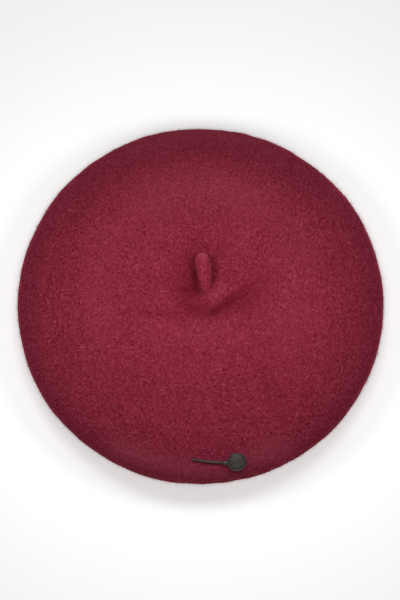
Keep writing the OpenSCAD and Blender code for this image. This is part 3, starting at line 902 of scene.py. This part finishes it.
# Wavelength, height and seed of each size of lump, and where lumps begin after the root and end at the tip
STEM_LUMPS, LUMP_BEGIN, LUMP_END = ((11, 0.20, 41), (5, 0.10, 42), (2.6, 0.04, 43)), (0.5, 4.0), (-1.5, 0.0)
# The stem's felt is painted paler than the body's as painted light, paler still at its tip as a painted
# highlight, and painted shade darkens its root
STEM_LIFT, TIP_PAINTED_LIGHT, TIP_LIGHT_REACH, ROOT_SHADE, SHADE_REACH = 1.12, 0.30, (-6, -0.5), 0.10, (3, 9)
# The stem bows to the left by this much at its tip, from a little way past its root
STEM_BOW, BOW_FROM = 0.6, 3.0


class StemForm:
    """The stem's outside as a function of the distance from its root's end and the bearing round it."""

    def __init__(self, stem, root_height):
        lean, turn = stem.lean, stem.turn
        self.length = stem.length / MM
        self.tip, self.root = stem.tip_radius / MM, stem.root_radius / MM
        self.base = np.array([*STEM_FOOT, root_height])
        self.across = np.array([math.cos(turn), math.sin(turn), 0.0])
        back = np.array([-math.sin(turn), math.cos(turn), 0.0])
        self.way = math.sin(lean) * back + np.array([0.0, 0.0, math.cos(lean)])
        self.s_tip = self.root + self.length
        self.shaft = self.s_tip - self.tip

    def middle(self, s):
        """Points on the middle line, which bows to the left."""
        past = (s - self.root)[:, None]
        bow = STEM_BOW * (np.clip(past - BOW_FROM, 0, None) / (self.length - BOW_FROM)) ** 2
        return self.base + past * self.way - bow * self.across

    def half(self, s):
        """Half width: a round root, a long swelling taper and a round tip."""
        share = np.clip((s - self.root) / (self.shaft - self.root), 0, 1)
        wide = self.root + (self.tip - self.root) * np.sin(QUARTER_TURN * share) ** STEM_SWELL
        before = np.clip(1 - s / self.root, 0, 1)
        past = np.clip((s - self.shaft) / self.tip, 0, 1)
        return wide * np.sqrt((1 - before ** 2) * (1 - past ** TIP_SQUARE))

    def outside(self, s, bearing):
        """Points on the finished outside."""
        way = unit(self.middle(s + LINE_STEP) - self.middle(s - LINE_STEP))
        ring = turned(bearing, self.across, unit(np.cross(way, self.across)))
        plain = self.middle(s) + self.half(s)[:, None] * ring
        lump = uneven(plain, STEM_LUMPS)
        lump *= smooth(*LUMP_BEGIN, s) * (1 - smooth(*LUMP_END, s - self.s_tip))
        return plain + lump[:, None] * ring

    def facing(self, s, bearing):
        """Points on the finished outside and the outward normals there."""
        s = np.clip(s, 2 * STEM_STEP, self.s_tip - 2 * STEM_STEP)
        return facing(self.outside, s, bearing, STEM_STEP, -STEM_TURN)

    def pressed(self, s):
        """Share of painted shade along the stem, below zero where painted light makes it paler."""
        # Painted shade near the root, and a painted highlight at the tip
        shaded, rubbed = 1 - smooth(*SHADE_REACH, s), smooth(*TIP_LIGHT_REACH, s - self.s_tip)
        return ROOT_SHADE * shaded - TIP_PAINTED_LIGHT * rubbed


class BERET_OT_stem(Operator):
    """Build the felt stem, which turns at its sewn root"""

    bl_idname = "beret.stem"
    bl_label = "Stem"

    def execute(self, context):
        scene = context.scene
        stem, felt = scene.beret_stem, scene.beret_felt
        form = StemForm(stem, felt_form(scene).root_height)
        root_end = form.root * (1 - np.cos(QUARTER_TURN * np.linspace(0, 1, 9)[1:-1]))
        tip_end = form.s_tip - form.tip * (1 - np.sin(QUARTER_TURN * np.linspace(0, 1, 13)[1:-1]))
        s = np.concatenate([root_end, np.linspace(form.root, form.shaft, 50), tip_end])
        ends = np.array([0, form.s_tip])
        points = np.vstack([rings_of(form.outside, s, STEM_COLUMNS), form.middle(ends)])
        pressed = form.pressed(np.concatenate([np.repeat(s, STEM_COLUMNS), ends]))
        finish = felt_finish(felt, "stem_felt", STEM_LIFT)
        faces = closed_rings(len(s), STEM_COLUMNS, flip=True)
        piece = mesh_piece("felt_stem", points, faces, finish, pressed=pressed)
        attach(piece, STEM_BODY)
        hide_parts("stem")

        draw = np.random.default_rng(51)
        count = stem.nap_count
        at = draw.uniform(2.5, form.s_tip - 0.3, count)
        roots, normals = form.facing(at, draw.uniform(0, FULL_TURN, count))
        fibres = grown(draw, roots, normals, STEM_NAP, STEM_NAP_LENGTH, STEM_NAP_LONGEST, STEM_NAP_RADIUS)
        finish = nap_finish("stem_nap", felt.colour, felt.pale_colour)
        nap = fibre_piece("felt_stem_nap", finish, fibres, pieces=2, seed=52)
        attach(nap, STEM_BODY)
        return {"FINISHED"}


LOOP_RADIUS, LOOP_REACH, LOOP_CORNER, TIE_GAP = 0.5, 2.8, 0.7, 0.3
# Size of the knot, its drop under the loop, and the thread's radius in the knot and in its cut ends
KNOT_SIZE, KNOT_DROP, KNOT_THREAD, END_THREAD = 0.486, 0.6, 0.48, 0.42
CUT_END = np.array([(0, 0, 0), (1.4, 0.7, -1.2), (2.6, 1.8, -1.5)])


class BERET_OT_stem_loop(Operator):
    """Build the thread loop and knot that carry the stem"""

    bl_idname = "beret.stem_loop"
    bl_label = "Stem thread"

    def execute(self, context):
        turn = context.scene.beret_stem.turn
        side = np.array([math.cos(turn), math.sin(turn), 0.0])
        form = felt_form(context.scene)
        top = form.root_height
        low = form.crown_height(0.0) - form.thickness - TIE_GAP - LOOP_RADIUS

        def at(along, height):
            return np.array([*STEM_FOOT, height]) + along * side

        reach, bend, middle = LOOP_REACH, LOOP_REACH - LOOP_CORNER, (top + low) / 2
        over, under = top - LOOP_CORNER, low + LOOP_CORNER
        loop = smooth_line([at(along, height) for along, height in (
            (-reach, low + 2), (-reach, middle), (-reach, over), (-bend, top), (0, top), (bend, top),
            (reach, over), (reach, middle), (reach, low + 2), (reach, under), (bend, low), (0, low),
            (-bend, low), (-reach, under), (-reach, low + 2))], 220)
        # The knot is a trefoil drawn small, with two cut ends
        t = np.linspace(0, FULL_TURN, 90)
        trefoil = np.stack([np.sin(t) + 2 * np.sin(2 * t), np.cos(t) - 2 * np.cos(2 * t), -np.sin(3 * t)], 1)
        knot = at(LOOP_REACH, low - KNOT_DROP)
        parts = [
            plied(loop, LOOP_RADIUS, turns=13, sides=8),
            plied(knot + KNOT_SIZE * trefoil, KNOT_THREAD, turns=9, sides=8),
        ]
        for way in (-1, 1):
            cut_end = smooth_line(knot + CUT_END * (1, way, 1), 24)
            parts.append(plied(cut_end, END_THREAD, turns=2, sides=8))
        piece = mesh_piece("stem_thread", *joined(parts), thread_finish())
        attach(piece, BODY)
        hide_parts("stem_stitch")
        return {"FINISHED"}


SEAM_HEIGHT, SEAM_COVER, SEAM_WANDER, SEAM_SINK, SEAM_SWELL = 2.4, 0.72, 0.06, 0.75, 0.05
# The leather has swelled into its groove, so that only a share of the depth is left
GROOVE_DEPTH, GROOVE_HALF, GROOVE_LEFT = 0.85, 0.55, 0.82
SLIT, BAND_EDGE, BAND_COLUMNS = 0.8, 0.5, 480
# Wavelength, height and seed of the strip's sag, and the heights over which it comes in
BAND_WAVE, WAVE_RISE = ((26, 0.16, 61),), (6, 24)
JOIN_COUNT, JOIN_HALF, JOIN_RISE, JOIN_INSET = 6, 3.0, 1.6, 2.0
JOIN_SINK, JOIN_SWELL = 0.7, 0.12
# Room left round the joining stitches, and the slope at the edge of that thinned place
SKIVE_ROOM, SKIVE_SLOPE = 0.4, 1.2


def join_span(height):
    """Lowest and highest place of the joining stitches on a strip of a height."""
    return SEAM_HEIGHT + GROOVE_HALF + JOIN_INSET, height - BAND_EDGE - JOIN_INSET


class BERET_OT_sweatband(Operator):
    """Build the leather sweatband with its stitch groove and butted ends"""

    bl_idname = "beret.sweatband"
    bl_label = "Sweatband"

    def execute(self, context):
        band = context.scene.beret_band
        inner, thick, tall = band.inner_radius / MM, band.thickness / MM, band.height / MM
        edge, top = BAND_EDGE, tall - BAND_EDGE
        low, high = SEAM_HEIGHT - GROOVE_HALF, SEAM_HEIGHT + GROOVE_HALF
        groove = GROOVE_DEPTH * GROOVE_LEFT
        a = np.linspace(math.pi, QUARTER_TURN, 6)
        # Depth into the leather and height, up the inside, over the top edge and down the outside
        section = [(0.25, 0.0), (0.06, 0.1), (0.0, 0.3), (0.0, low - 0.25), (0.08, low - 0.05),
                   (groove * 0.7, low + 0.15), (groove, SEAM_HEIGHT), (groove * 0.7, high - 0.15),
                   (0.08, high + 0.05), (0.0, high + 0.25)]
        section += [(0.0, z) for z in np.linspace(high + 1, top - 0.6, 14)]
        section += [(edge + edge * math.cos(x), top + edge * math.sin(x)) for x in a]
        section += [(thick - edge + edge * math.cos(x), top + edge * math.sin(x)) for x in a - QUARTER_TURN]
        section += [(thick, z) for z in np.linspace(top - 1, 0.3, 8)] + [(thick - 0.2, 0.0)]
        depth, height = np.array(section).T

        # The leather is skived thin on its inside where its ends are drawn together
        gap = SLIT / 2 / inner
        round_ = np.linspace(gap, FULL_TURN - gap, BAND_COLUMNS)[:, None]
        from_slit = np.minimum(round_, FULL_TURN - round_) * inner
        join_low, join_high = join_span(tall)
        skive = 1 - smooth(JOIN_HALF + 0.2, JOIN_HALF + SKIVE_ROOM + SKIVE_SLOPE, from_slit)
        skive = skive * smooth(join_low - SKIVE_ROOM - SKIVE_SLOPE, join_low - SKIVE_ROOM, height)
        skive *= 1 - smooth(join_high + SKIVE_ROOM, join_high + SKIVE_ROOM + SKIVE_SLOPE, height)
        r = inner + depth + GROOVE_DEPTH * skive * (depth < 0.02)
        bearing = QUARTER_TURN + round_
        points = np.stack([r * np.cos(bearing), r * np.sin(bearing), np.broadcast_to(height, r.shape)], 2)
        sag = np.abs(uneven(points.reshape(-1, 3), BAND_WAVE)).reshape(r.shape) * smooth(*WAVE_RISE, height)
        points[..., :2] *= (1 - sag / inner)[..., None]
        faces = capped_rings(BAND_COLUMNS, len(section))
        piece = mesh_piece("sweatband_strip", points.reshape(-1, 3), faces, leather_finish(band))
        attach(piece, BODY)
        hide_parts("sweatband")
        return {"FINISHED"}


# Share of a stitch over which it dives
DIVE = 0.06


def stitch_line(start, end, out, sink, swell):
    """A stitch from start to end that dives into the work at both ends."""
    start, end = np.asarray(start, float), np.asarray(end, float)
    t = np.linspace(0, 1, 13)
    lift = swell * np.sin(math.pi * t) - sink * (np.exp(-t / DIVE) + np.exp(-(1 - t) / DIVE))
    return start + t[:, None] * (end - start) + lift[:, None] * np.asarray(out)


class BERET_OT_band_stitches(Operator):
    """Sew the row of stitches that holds the sweatband to the felt lip"""

    bl_idname = "beret.band_stitches"
    bl_label = "Sweatband stitches"

    def execute(self, context):
        scene = context.scene
        radius, count = scene.beret_thread.radius / MM, scene.beret_thread.stitches
        in_r = scene.beret_band.inner_radius / MM + GROOVE_DEPTH - radius
        out_r = felt_form(scene).lip_out + 0.5 * radius
        half = SEAM_COVER * math.pi / count
        draw = np.random.default_rng(71)
        parts = []
        for i in range(count):
            middle = QUARTER_TURN + (i + 0.5) * FULL_TURN / count
            out = np.array([math.cos(middle), math.sin(middle), 0])
            for r, sign in ((in_r, -1), (out_r, 1)):
                ends = []
                for b, wander in zip((middle - half, middle + half), draw.normal(0, SEAM_WANDER, 2)):
                    ends.append((r * math.cos(b), r * math.sin(b), SEAM_HEIGHT + wander))
                bulge = r * (1 - math.cos(half)) * sign
                line = stitch_line(*ends, sign * out, SEAM_SINK, bulge + SEAM_SWELL)
                parts.append(plied(line, radius, turns=2.2, sides=6, phase=draw.uniform(0, 6)))
        piece = mesh_piece("sweatband_seam", *joined(parts), thread_finish())
        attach(piece, BODY)
        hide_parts("sweatband_stitches")
        return {"FINISHED"}


class BERET_OT_join_stitches(Operator):
    """Sew the slanting stitches that draw the sweatband's ends together"""

    bl_idname = "beret.join_stitches"
    bl_label = "Joining stitches"

    def execute(self, context):
        band, radius = context.scene.beret_band, context.scene.beret_thread.radius / MM
        low, high = join_span(band.height / MM)
        y = math.sqrt((band.inner_radius / MM + GROOVE_DEPTH - radius) ** 2 - JOIN_HALF ** 2)
        parts = []
        for i, z in enumerate(np.linspace(low, high - JOIN_RISE, JOIN_COUNT)):
            start, end = (-JOIN_HALF, y, z), (JOIN_HALF, y, z + JOIN_RISE)
            line = stitch_line(start, end, (0, -1, 0), JOIN_SINK, JOIN_SWELL)
            parts.append(plied(line, radius, turns=3, sides=8, phase=1.3 * i))
        piece = mesh_piece("sweatband_join", *joined(parts), thread_finish())
        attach(piece, BODY)
        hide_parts("sweatband_join_stitches")
        return {"FINISHED"}


PIN_RADIUS, PIN_BEARING, PIN_GAP = 128.0, math.radians(-78.0), 0.2
PIN_COLUMNS, BEAD, PIN_RIM, PIN_DOME = 96, 0.6, 1.8, 1.2
BAR_CLIMB, BAR_WIDE, BAR_TIP, BAR_NECK = 4.0, 1.9, 1.3, 0.45
COLLAR_WIDE, COLLAR_LONG = 3.4, 3.0
SPUR_RADIUS, SPUR_DEPTH = 0.45, 2.0


def felt_at(form, r, bearing):
    """Place, outward way and uphill way of the plain felt at a radius and bearing."""
    tilt = -math.atan(form.crown_height(r + 0.5) - form.crown_height(r - 0.5))
    c, d = math.cos(bearing), math.sin(bearing)
    return (np.array([r * c, r * d, form.crown_height(r)]),
            np.array([math.sin(tilt) * c, math.sin(tilt) * d, math.cos(tilt)]),
            np.array([-math.cos(tilt) * c, -math.cos(tilt) * d, math.sin(tilt)]))


def pin_disc(form, disc):
    """Points and faces of the domed disc with its beaded rim."""
    centre, out, up = felt_at(form, PIN_RADIUS, PIN_BEARING)
    step, dome = PIN_RIM - BEAD, disc - 2 * BEAD
    section = [(0.001, 0.0), (dome, 0.0)]
    section += [(disc - BEAD + BEAD * math.cos(x), step + BEAD * math.sin(x))
                for x in np.linspace(-QUARTER_TURN, math.pi, 19)]
    section += [(dome * u, step + (PIN_DOME + BEAD) * math.cos(QUARTER_TURN * u))
                for u in np.linspace(0.985, 0.001, 16)]
    reach, height = np.array(section).T[..., None, None]
    ring = turned(round_to(PIN_COLUMNS), np.cross(up, out), up)
    points = centre + reach * ring + (PIN_GAP + height) * out
    return points.reshape(-1, 3), capped_rings(len(section), PIN_COLUMNS)


def pin_bar(form, disc, bar):
    """Points and faces of the bar with its collar and round tip, and of the spur under the tip."""
    share = np.linspace((disc - BEAD) / bar, 1, 90)
    swell = np.exp(-((share * bar - disc - COLLAR_LONG / 2) / (0.6 * COLLAR_LONG)) ** 4)
    half = (BAR_WIDE + (BAR_TIP - BAR_WIDE) * share + (COLLAR_WIDE - BAR_WIDE) * swell) / 2
    half *= 1 - BAR_NECK * (1 - smooth(disc - BEAD, disc + BEAD, share * bar))
    line = []
    for u, w in zip(share, half):
        place, out, _ = felt_at(form, PIN_RADIUS - BAR_CLIMB * u, PIN_BEARING - bar * u / PIN_RADIUS)
        line.append(place + (PIN_GAP + w) * out)
    x = np.linspace(0.2, 1.5, 7)
    round_end = line[-1] + half[-1] * np.sin(x)[:, None] * unit(line[-1] - line[-2])
    shaft = tube(np.vstack([line, round_end]), np.append(half, half[-1] * np.cos(x)), 20)
    # The spur goes into the felt from the last place of the line
    spur = place + np.linspace(-SPUR_DEPTH, PIN_GAP + BAR_TIP / 2, 8)[:, None] * out
    return joined([shaft, tube(spur, SPUR_RADIUS, 14)])


class BERET_OT_pin(Operator):
    """Build the pin's head, and finish its post, clutch and grip"""

    bl_idname = "beret.pin"
    bl_label = "Pin"

    def execute(self, context):
        pin, form = context.scene.beret_pin, felt_form(context.scene)
        disc, bar = pin.disc_radius / MM, pin.bar_length / MM
        parts = joined([pin_disc(form, disc), pin_bar(form, disc, bar)])
        piece = mesh_piece("pin_disc_and_bar", *parts, plated_finish(pin))
        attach(piece, BODY)
        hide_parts("pin_head")

        for node, finish in (
            ("pin_post", plain_metal_finish("steel", (0.46, 0.46, 0.45), 0.35, 1600)),
            ("pin_clutch", plain_metal_finish("clutch_brass", (0.56, 0.41, 0.19), 0.38, 1100)),
            ("clutch_grip", rubber_finish()),
        ):
            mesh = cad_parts[node].data
            mesh.materials.clear()
            mesh.materials.append(finish)
        return {"FINISHED"}


# Where the rim's middle lies in the picture, in pixels from its middle, and the picture's height
RIM_OFFSET, PICTURE_HEIGHT = (0.6, 1.9), 600
SENSOR, NEAREST, FURTHEST = 36, 0.05, 60
FLOOR_HALF = 20000.0
# Place, size and share of the power of each lamp
LAMPS = {
    "lamp_left": ((-0.095, -0.014, 0.275), 0.11, 1.0),
    "lamp_right": ((0.095, -0.014, 0.275), 0.11, 1.0),
    "lamp_below": ((0.0, 0.0, -0.45), 0.30, 3.6),
}
LAMP_AIM = Vector((0, 0, 0.05))
# Strength of the white that the camera and reflections see behind the object
SKY_SEEN = 0.90


def placed(name, data, location, way):
    """A camera or lamp at a location that looks along a way."""
    item = bpy.data.objects.new(name, data)
    item.location = location
    item.rotation_mode = "QUATERNION"
    item.rotation_quaternion = way.to_track_quat("-Z", "Y")
    bpy.context.scene.collection.objects.link(item)
    return item


class BERET_OT_stage(Operator):
    """Set the camera, the soft light, the world and the floor"""

    bl_idname = "beret.stage"
    bl_label = "Stage"

    def execute(self, context):
        scene = context.scene
        stage = scene.beret_stage
        c, s = math.cos(stage.elevation), math.sin(stage.elevation)
        back, up = Vector((0, -c, s)), Vector((0, s, c))
        camera = bpy.data.cameras.new("camera")
        camera.lens, camera.sensor_width = stage.lens, SENSOR
        camera.clip_start, camera.clip_end = NEAREST, FURTHEST
        pixel = stage.distance * SENSOR / stage.lens / PICTURE_HEIGHT
        rim = Vector((-RIM_OFFSET[0] * pixel, 0, scene.beret_felt.rim_height))
        eye = rim + RIM_OFFSET[1] * pixel * up + stage.distance * back
        scene.camera = placed("camera", camera, eye, -back)

        for name, (place, size, share) in LAMPS.items():
            lamp = bpy.data.lights.new(name, "AREA")
            lamp.shape, lamp.size = "DISK", size
            lamp.energy = share * stage.lamp_power
            lit = placed(name, lamp, place, LAMP_AIM - Vector(place))
            lit.visible_camera = False

        scene.world = bpy.data.worlds.new("studio")
        sky = Nodes(scene.world)
        path = sky.add("ShaderNodeLightPath").outputs
        glossy = sky.math("MAXIMUM", path["Is Glossy Ray"], path["Is Transmission Ray"])
        seen = sky.math("MAXIMUM", path["Is Camera Ray"], glossy)
        strength = sky.spread(seen, 0, 1, stage.fill, SKY_SEEN)
        light = sky.add("ShaderNodeBackground", {"Color": (1, 1, 1, 1), "Strength": strength})
        sky.add("ShaderNodeOutputWorld", {"Surface": light.outputs[0]})

        corners = FLOOR_HALF * np.array([[-1, -1, 0], [1, -1, 0], [1, 1, 0], [-1, 1, 0]])
        floor = mesh_piece("floor", corners, [[0, 1, 2, 3]], floor_finish(stage))
        scene.view_settings.view_transform = "Standard"
        return {"FINISHED"}


class BERET_PT_tools(Panel):
    """Lists the beret's pieces in the sidebar"""

    bl_label = "Beret"
    bl_idname = "BERET_PT_tools"
    bl_space_type = "VIEW_3D"
    bl_region_type = "UI"
    bl_category = "Beret"

    def draw(self, context):
        for operator in OPERATORS:
            self.layout.operator(operator.bl_idname)
        for name in SETTINGS:
            group = getattr(context.scene, name)
            box = self.layout.box()
            for key in group.bl_rna.properties.keys():
                if key not in ("rna_type", "name"):
                    box.prop(group, key)


OPERATORS = (
    BERET_OT_felt_shell, BERET_OT_felt_nap, BERET_OT_stem, BERET_OT_stem_loop,
    BERET_OT_sweatband, BERET_OT_band_stitches, BERET_OT_join_stitches,
    BERET_OT_pin, BERET_OT_stage,
)
SETTINGS = {
    "beret_felt": FeltSettings, "beret_stem": StemSettings, "beret_band": BandSettings,
    "beret_thread": ThreadSettings, "beret_pin": PinSettings, "beret_stage": StageSettings,
}


def register():
    for cls in (*SETTINGS.values(), *OPERATORS, BERET_PT_tools):
        bpy.utils.register_class(cls)
    for name, cls in SETTINGS.items():
        setattr(bpy.types.Scene, name, PointerProperty(type=cls))


def unregister():
    for name in SETTINGS:
        delattr(bpy.types.Scene, name)
    for cls in (BERET_PT_tools, *reversed(OPERATORS), *SETTINGS.values()):
        bpy.utils.unregister_class(cls)


def main():
    register()
    bpy.ops.beret.stage()
    bpy.ops.beret.felt_shell()
    bpy.ops.beret.felt_nap()
    bpy.ops.beret.stem()
    bpy.ops.beret.stem_loop()
    bpy.ops.beret.sweatband()
    bpy.ops.beret.band_stitches()
    bpy.ops.beret.join_stitches()
    bpy.ops.beret.pin()
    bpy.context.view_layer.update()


if __name__ == "__main__":
    main()
